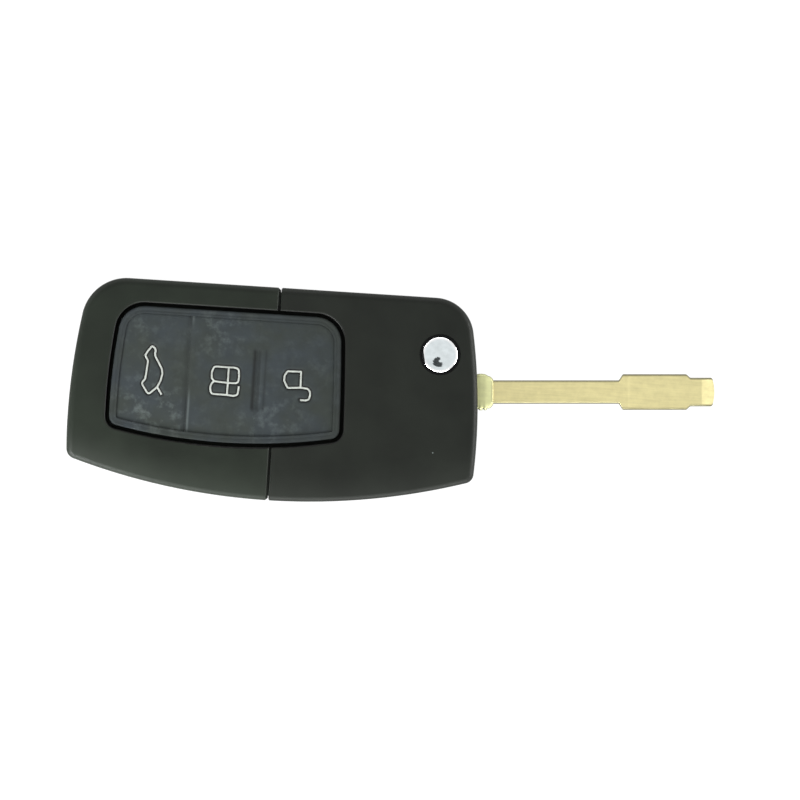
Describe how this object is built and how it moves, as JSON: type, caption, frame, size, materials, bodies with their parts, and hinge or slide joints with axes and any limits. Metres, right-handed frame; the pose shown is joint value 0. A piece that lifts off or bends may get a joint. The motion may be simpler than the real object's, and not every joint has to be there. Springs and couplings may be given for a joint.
{
  "type": "flip key remote shell",
  "caption": "Folding car key shell: a matt black remote body with soft symbol keys, a chromed release button and an uncut blade that flips out.",
  "frame": {"origin": "on the flat back face, on the axis of the blade's pivot", "axes": "+X along the straight top edge towards the blade end, +Y up to that edge, +Z out of the face with the keys"},
  "size_m": [0.1171, 0.0387, 0.0164],
  "materials": {
    "case_plastic": "fine moulded texture, matt black ABS",
    "keypad_rubber": "smooth dark grey elastomer with handling marks",
    "key_symbol_ink": "pale grey pad-printed lines",
    "button_chrome": "polished chrome plate",
    "blade_brass": "milled pale nickel brass, uncut",
    "carrier_metal": "as die cast",
    "spring_steel": "bright drawn wire",
    "screw_steel": "blackened",
    "contact_metal": "nickel plated sheet",
    "holder_plastic": "plain black nylon"
  },
  "bodies": {
    "shell": {"head_front_cover": "case_plastic", "head_rear_cover": "case_plastic", "head_screw_nose": "screw_steel", "head_screw_middle": "screw_steel", "pivot_cap": "case_plastic", "remote_front_case": "case_plastic", "remote_rear_case": "case_plastic", "keypad_frame": "keypad_rubber", "cell_holder": "holder_plastic", "battery_contact_positive": "contact_metal", "battery_contact_negative": "contact_metal", "transponder_holder": "holder_plastic"},
    "blade": {"blade_carrier": "carrier_metal", "key_blade": "blade_brass", "blade_roll_pin": "spring_steel", "flip_spring": "spring_steel"},
    "release_button": {"release_button": "button_chrome"},
    "trunk_key": {"trunk_key": "keypad_rubber"},
    "lock_key": {"lock_key": "keypad_rubber"},
    "unlock_key": {"unlock_key": "keypad_rubber"}
  },
  "joints": [
    {"name": "blade_fold", "type": "hinge", "parent": "shell", "child": "blade", "pos_m": [0, 0, 0.008], "axis": [0, 0, 1], "range_deg": [0, 176.32], "stiffness_Nm_per_rad": 0.01, "springref_deg": -45.84},
    {"name": "release_press", "type": "slide", "parent": "blade", "child": "release_button", "axis": [0, 0, -1], "range_m": [0, 0.0015], "stiffness_N_per_m": 150, "springref_m": -0.002, "deforming": ["flip_spring"]},
    {"name": "trunk_press", "type": "slide", "parent": "shell", "child": "trunk_key", "axis": [0, 0, -1], "range_m": [0, 0.0006], "stiffness_N_per_m": 150, "springref_m": -0.001},
    {"name": "lock_press", "type": "slide", "parent": "shell", "child": "lock_key", "axis": [0, 0, -1], "range_m": [0, 0.0006], "stiffness_N_per_m": 150, "springref_m": -0.001},
    {"name": "unlock_press", "type": "slide", "parent": "shell", "child": "unlock_key", "axis": [0, 0, -1], "range_m": [0, 0.0006], "stiffness_N_per_m": 150, "springref_m": -0.001}
  ]
}
